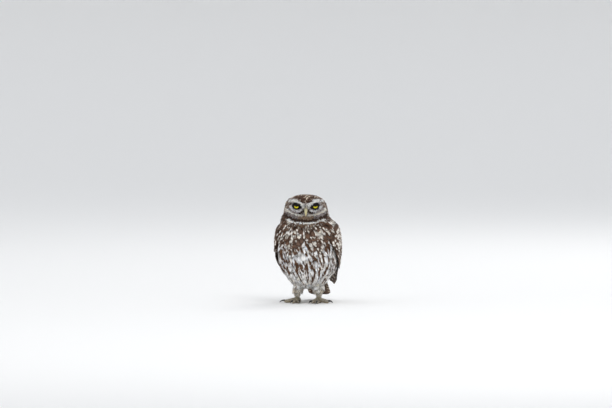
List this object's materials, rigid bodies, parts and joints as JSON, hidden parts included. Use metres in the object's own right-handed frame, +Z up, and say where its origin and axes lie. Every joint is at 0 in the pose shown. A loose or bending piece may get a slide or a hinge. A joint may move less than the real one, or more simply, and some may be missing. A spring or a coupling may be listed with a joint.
{
  "type": "little owl",
  "caption": "Little owl standing still on both feet, wings folded and head turned slightly, as a life-size display model.",
  "frame": {"origin": "middle of the box round the bird's footprint, on the floor that it stands on", "axes": "+Z up; the bird faces -Y, and its own left side is at +X"},
  "size_m": [0.0984, 0.1368, 0.158],
  "materials": {
    "head_plumage": "matte",
    "body_plumage": "matte",
    "flight_feathers": "matte",
    "leg_plumage": "matte",
    "bill_horn": "satin",
    "claw_horn": "satin",
    "eye": "gloss"
  },
  "bodies": {
    "root": {"head": "head_plumage", "neck": "body_plumage", "torso": "body_plumage", "wing_left": "flight_feathers", "wing_right": "flight_feathers", "tail": "flight_feathers", "leg_left": "leg_plumage", "leg_right": "leg_plumage", "foot_left": "leg_plumage", "foot_right": "leg_plumage", "bill_upper": "bill_horn", "bill_lower": "bill_horn", "eye_left": "eye", "eye_right": "eye", "claw_left_inner": "claw_horn", "claw_left_middle": "claw_horn", "claw_left_outer": "claw_horn", "claw_left_hind": "claw_horn", "claw_right_inner": "claw_horn", "claw_right_middle": "claw_horn", "claw_right_outer": "claw_horn", "claw_right_hind": "claw_horn"}
  },
  "joints": []
}
